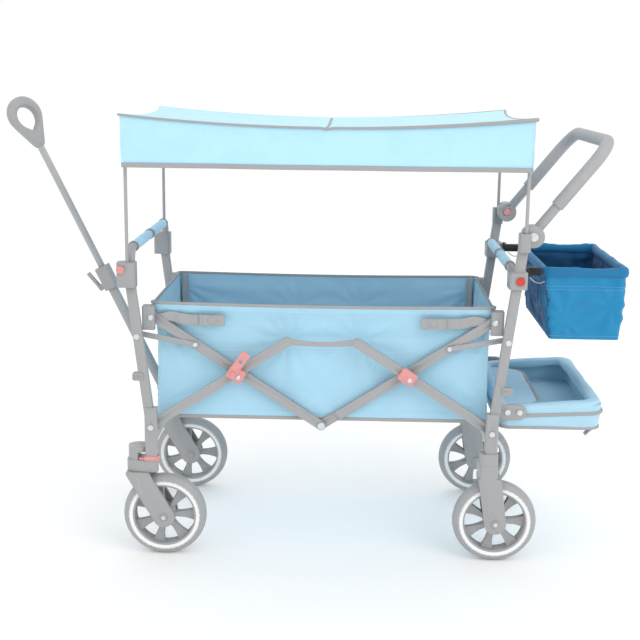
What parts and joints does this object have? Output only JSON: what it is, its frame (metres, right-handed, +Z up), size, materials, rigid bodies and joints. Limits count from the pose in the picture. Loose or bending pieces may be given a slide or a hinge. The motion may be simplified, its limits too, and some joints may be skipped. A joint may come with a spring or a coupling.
{
  "type": "folding beach cart",
  "caption": "Folding cloth wagon on scissor bars with a canopy, swivel casters, a telescoping pull handle, a push handle, a rear basket and a foot well.",
  "frame": {"origin": "on the floor, under the middle of the whole cart's bounding box", "axes": "+Z up, -X towards the pull handle (front), +X towards the push handle (rear), +Y to the right"},
  "size_m": [1.507, 0.58, 1.0863],
  "materials": {
    "frame": "satin black powder coat",
    "bar": "dark anodised",
    "rod": "dark anodised",
    "black_plastic": "fine moulded texture",
    "red_plastic": "satin",
    "steel": "zinc plated",
    "tyre": "foam rubber",
    "rim": "satin",
    "tub_fabric": "coated woven polyester",
    "basket_fabric": "coated woven polyester",
    "canopy_fabric": "thin woven polyester",
    "webbing": "woven webbing",
    "sleeve": "padded polyester",
    "soft_grip": "foam"
  },
  "bodies": {
    "front_frame": {"front_posts": "frame", "front_legs": "frame", "front_brackets": "black_plastic", "front_grab_bar": "frame", "front_grab_sleeve": "sleeve", "front_rivets": "steel"},
    "front_button_left": {"front_button_left": "red_plastic"},
    "front_button_right": {"front_button_right": "red_plastic"},
    "swivel_lock_left": {"swivel_lock_left": "red_plastic"},
    "swivel_lock_right": {"swivel_lock_right": "red_plastic"},
    "caster_left": {"caster_fork_left": "frame"},
    "caster_right": {"caster_fork_right": "frame"},
    "wheel_front_left": {"tyre_front_left": "tyre", "rim_front_left": "rim"},
    "wheel_front_right": {"tyre_front_right": "tyre", "rim_front_right": "rim"},
    "wheel_rear_left": {"tyre_rear_left": "tyre", "rim_rear_left": "rim"},
    "wheel_rear_right": {"tyre_rear_right": "tyre", "rim_rear_right": "rim"},
    "front_lower": {"front_lower_bars": "bar", "cross_lock_covers": "red_plastic"},
    "front_upper": {"front_upper_bars": "bar", "front_pivot_pins": "steel"},
    "rear_upper": {"rear_upper_bars": "bar", "rear_pivot_pins": "steel"},
    "rear_lower": {"rear_lower_bars": "bar", "cross_covers": "red_plastic"},
    "cross_lever": {"cross_lock_lever": "red_plastic"},
    "front_link": {"front_links": "steel"},
    "rear_link": {"rear_links": "steel"},
    "tub": {"front_corner_blocks": "black_plastic", "tub_cloth": "tub_fabric", "tub_straps": "webbing", "floor_mat": "tub_fabric"},
    "rear_corner": {"rear_corner_blocks": "black_plastic"},
    "rear_frame": {"rear_posts": "frame", "rear_legs": "frame", "rear_brackets": "black_plastic", "rear_grab_bar": "frame", "rear_grab_sleeve": "sleeve", "rear_forks": "frame", "rear_rivets": "steel"},
    "push_handle": {"push_handle_tube": "frame", "push_handle_grip": "soft_grip"},
    "push_button_left": {"push_button_left": "red_plastic"},
    "push_button_right": {"push_button_right": "red_plastic"},
    "rear_button_left": {"rear_button_left": "red_plastic"},
    "rear_button_right": {"rear_button_right": "red_plastic"},
    "basket": {"basket_bag": "basket_fabric", "basket_frame": "black_plastic"},
    "footwell": {"footwell_bag": "tub_fabric"},
    "pull_lower": {"pull_outer_tube": "frame", "clamp_collar": "black_plastic"},
    "pull_upper": {"pull_inner_tube": "bar", "pull_grip": "black_plastic"},
    "clamp_lever": {"clamp_lever": "black_plastic"},
    "canopy": {"canopy_cloth": "canopy_fabric", "canopy_front_rods": "rod"},
    "canopy_rear": {"canopy_rear_rods": "rod"}
  },
  "joints": [
    {"name": "fold", "type": "hinge", "parent": "front_frame", "child": "front_lower", "pos_m": [-0.36749, 0, 0.322], "axis": [0, -1, 0], "range_deg": [0, 42], "deforming": ["tub_cloth", "tub_straps", "floor_mat", "canopy_cloth"]},
    {"name": "front_cross_turn", "type": "hinge", "parent": "front_lower", "child": "front_upper", "pos_m": [-0.16599, 0, 0.453], "axis": [0, -1, 0], "range_deg": [-84, 0]},
    {"name": "hub_turn", "type": "hinge", "parent": "front_upper", "child": "rear_upper", "pos_m": [0.03551, 0, 0.322], "axis": [0, -1, 0], "range_deg": [0, 84]},
    {"name": "rear_cross_turn", "type": "hinge", "parent": "rear_upper", "child": "rear_lower", "pos_m": [0.23701, 0, 0.453], "axis": [0, -1, 0], "range_deg": [-84, 0]},
    {"name": "rear_foot_turn", "type": "hinge", "parent": "rear_lower", "child": "rear_frame", "pos_m": [0.43851, 0, 0.322], "axis": [0, -1, 0], "range_deg": [0, 42]},
    {"name": "tub_corner_turn", "type": "hinge", "parent": "front_upper", "child": "tub", "pos_m": [-0.36749, 0, 0.584], "axis": [0, -1, 0], "range_deg": [0, 42]},
    {"name": "rear_corner_turn", "type": "hinge", "parent": "rear_upper", "child": "rear_corner", "pos_m": [0.43851, 0, 0.584], "axis": [0, -1, 0], "range_deg": [-42, 0]},
    {"name": "front_link_turn", "type": "hinge", "parent": "front_frame", "child": "front_link", "pos_m": [-0.39649, 0, 0.542], "axis": [0, -1, 0], "range_deg": [0, 74.96]},
    {"name": "rear_link_turn", "type": "hinge", "parent": "rear_frame", "child": "rear_link", "pos_m": [0.46751, 0, 0.542], "axis": [0, -1, 0], "range_deg": [-74.96, 0]},
    {"name": "caster_swivel_left", "type": "hinge", "parent": "front_frame", "child": "caster_left", "pos_m": [-0.40149, -0.236, 0.212], "axis": [0, 0, 1], "continuous": true},
    {"name": "wheel_front_left_spin", "type": "hinge", "parent": "caster_left", "child": "wheel_front_left", "pos_m": [-0.33949, -0.236, 0.1], "axis": [0, 1, 0], "continuous": true},
    {"name": "wheel_rear_left_spin", "type": "hinge", "parent": "rear_frame", "child": "wheel_rear_left", "pos_m": [0.45451, -0.236, 0.1], "axis": [0, 1, 0], "continuous": true},
    {"name": "front_button_left_press", "type": "slide", "parent": "front_frame", "child": "front_button_left", "axis": [0, 1, 0], "range_m": [0, 0.004], "stiffness_N_per_m": 600, "springref_m": -0.002},
    {"name": "rear_button_left_press", "type": "slide", "parent": "rear_frame", "child": "rear_button_left", "axis": [0, 1, 0], "range_m": [0, 0.004], "stiffness_N_per_m": 600, "springref_m": -0.002},
    {"name": "push_button_left_press", "type": "slide", "parent": "push_handle", "child": "push_button_left", "axis": [0, -1, 0], "range_m": [0, 0.004], "stiffness_N_per_m": 600, "springref_m": -0.002},
    {"name": "swivel_lock_left_lift", "type": "slide", "parent": "front_frame", "child": "swivel_lock_left", "axis": [0, 0, 1], "range_m": [0, 0.006]},
    {"name": "caster_swivel_right", "type": "hinge", "parent": "front_frame", "child": "caster_right", "pos_m": [-0.40149, 0.236, 0.212], "axis": [0, 0, 1], "continuous": true},
    {"name": "wheel_front_right_spin", "type": "hinge", "parent": "caster_right", "child": "wheel_front_right", "pos_m": [-0.33949, 0.236, 0.1], "axis": [0, 1, 0], "continuous": true},
    {"name": "wheel_rear_right_spin", "type": "hinge", "parent": "rear_frame", "child": "wheel_rear_right", "pos_m": [0.45451, 0.236, 0.1], "axis": [0, 1, 0], "continuous": true},
    {"name": "front_button_right_press", "type": "slide", "parent": "front_frame", "child": "front_button_right", "axis": [0, -1, 0], "range_m": [0, 0.004], "stiffness_N_per_m": 600, "springref_m": -0.002},
    {"name": "rear_button_right_press", "type": "slide", "parent": "rear_frame", "child": "rear_button_right", "axis": [0, -1, 0], "range_m": [0, 0.004], "stiffness_N_per_m": 600, "springref_m": -0.002},
    {"name": "push_button_right_press", "type": "slide", "parent": "push_handle", "child": "push_button_right", "axis": [0, 1, 0], "range_m": [0, 0.004], "stiffness_N_per_m": 600, "springref_m": -0.002},
    {"name": "swivel_lock_right_lift", "type": "slide", "parent": "front_frame", "child": "swivel_lock_right", "axis": [0, 0, 1], "range_m": [0, 0.006]},
    {"name": "cross_lever_turn", "type": "hinge", "parent": "front_lower", "child": "cross_lever", "pos_m": [-0.17399, 0, 0.457], "axis": [0, 1, 0], "range_deg": [0, 60]},
    {"name": "push_tilt", "type": "hinge", "parent": "rear_frame", "child": "push_handle", "pos_m": [0.51351, 0, 0.79], "axis": [0, 1, 0], "range_deg": [-20, 45]},
    {"name": "basket_lift", "type": "slide", "parent": "rear_frame", "child": "basket", "axis": [0, 0, 1], "range_m": [0, 0.05]},
    {"name": "footwell_fold", "type": "hinge", "parent": "rear_frame", "child": "footwell", "pos_m": [0.47551, 0, 0.371], "axis": [0, -1, 0], "range_deg": [0, 36]},
    {"name": "pull_pivot", "type": "hinge", "parent": "front_frame", "child": "pull_lower", "pos_m": [-0.38249, 0, 0.358], "axis": [0, 1, 0], "range_deg": [-58, 12]},
    {"name": "pull_slide", "type": "slide", "parent": "pull_lower", "child": "pull_upper", "axis": [-0.4352, 0, 0.9003], "range_m": [-0.2, 0]},
    {"name": "clamp_turn", "type": "hinge", "parent": "pull_lower", "child": "clamp_lever", "pos_m": [-0.52985, 0, 0.60998], "axis": [0, -1, 0], "range_deg": [0, 86]},
    {"name": "canopy_lift", "type": "slide", "parent": "front_frame", "child": "canopy", "axis": [0, 0, 1], "range_m": [0, 0.05]},
    {"name": "canopy_rear_lift", "type": "slide", "parent": "rear_frame", "child": "canopy_rear", "axis": [0, 0, 1], "range_m": [0, 0.05]}
  ],
  "couplings": [
    {"joint": "front_cross_turn", "follows": "fold", "ratio": -2},
    {"joint": "hub_turn", "follows": "fold", "ratio": 2},
    {"joint": "rear_cross_turn", "follows": "fold", "ratio": -2},
    {"joint": "rear_foot_turn", "follows": "fold", "ratio": 1},
    {"joint": "tub_corner_turn", "follows": "fold", "ratio": 1},
    {"joint": "rear_corner_turn", "follows": "fold", "ratio": -1},
    {"joint": "front_link_turn", "follows": "fold", "ratio": 1.7825},
    {"joint": "rear_link_turn", "follows": "fold", "ratio": -1.7825},
    {"joint": "canopy_rear_lift", "follows": "canopy_lift", "ratio": 1}
  ]
}
